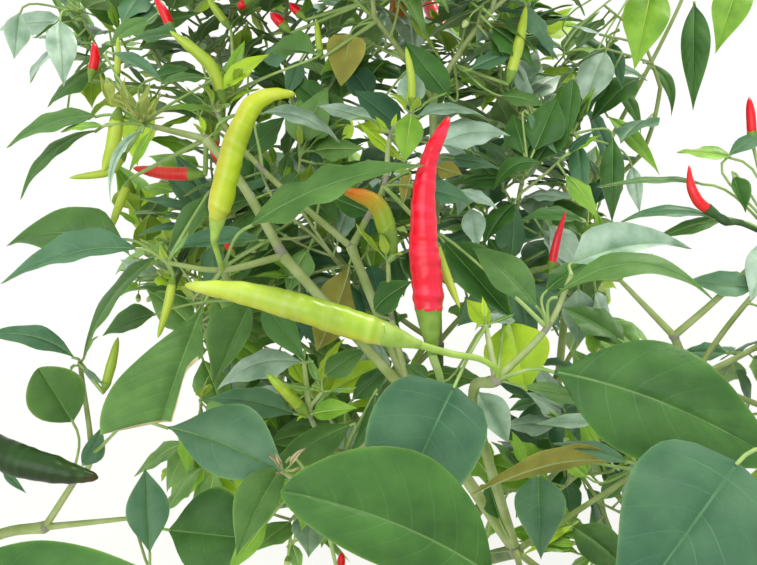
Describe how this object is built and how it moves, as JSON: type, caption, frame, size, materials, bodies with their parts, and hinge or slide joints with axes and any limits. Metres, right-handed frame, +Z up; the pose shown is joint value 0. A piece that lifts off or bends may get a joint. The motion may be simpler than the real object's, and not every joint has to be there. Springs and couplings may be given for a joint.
{
  "type": "chilli pepper plant",
  "caption": "Chilli pepper plant in fruit: a woody stem forks into green limbs that carry leafy twigs and slender pods, some standing, some level, some hanging.",
  "frame": {"origin": "middle of the flat cut under the main stem, at ground level", "axes": "+Z up along the stem, +X to the right and +Y away as the picture looks at the plant"},
  "size_m": [0.6175, 0.4674, 0.6816],
  "materials": {
    "bark": "rough",
    "green_stem": "satin",
    "foliage": "satin",
    "pod_green": "glossy",
    "pod_red": "glossy",
    "pod_orange": "glossy",
    "pod_dark": "glossy"
  },
  "bodies": {
    "root": {"bough_back_left": "green_stem", "bough_back_right": "green_stem", "bough_centre": "green_stem", "bough_front": "green_stem", "bough_left": "green_stem", "branch_back_left": "green_stem", "branch_back_right": "green_stem", "branch_diagonal": "green_stem", "branch_low_left": "green_stem", "branch_middle": "green_stem", "branch_right": "green_stem", "branch_right_front": "green_stem", "branch_right_side": "green_stem", "branch_top": "green_stem", "branch_upper_left": "green_stem", "branch_upright": "green_stem", "foliage_apex": "foliage", "foliage_back": "foliage", "foliage_back_high": "foliage", "foliage_back_left_high": "foliage", "foliage_back_left_low": "foliage", "foliage_back_low": "foliage", "foliage_back_right_high": "foliage", "foliage_back_right_low": "foliage", "foliage_centre": "foliage", "foliage_centre_left": "foliage", "foliage_centre_right": "foliage", "foliage_front_low": "foliage", "foliage_inner": "foliage", "foliage_inner_front": "foliage", "foliage_inner_left": "foliage", "foliage_inner_right": "foliage", "foliage_left": "foliage", "foliage_left_high": "foliage", "foliage_left_low": "foliage", "foliage_low": "foliage", "foliage_low_left": "foliage", "foliage_near_left": "foliage", "foliage_right": "foliage", "foliage_right_edge": "foliage", "foliage_right_front": "foliage", "foliage_right_high": "foliage", "foliage_right_low": "foliage", "foliage_right_near": "foliage", "foliage_rise": "foliage", "foliage_top_left": "foliage", "foliage_top_right": "foliage", "foliage_top_right_high": "foliage", "foliage_upper_left": "foliage", "main_stem": "bark", "pod_curved_green": "pod_green", "pod_dark": "pod_dark", "pod_lime_low": "pod_green", "pod_long_green": "pod_green", "pod_orange": "pod_orange", "pod_red_edge": "pod_red", "pod_red_level": "pod_red", "pod_red_small": "pod_red", "pod_red_upright": "pod_red", "upper_stem": "green_stem"}
  },
  "joints": []
}
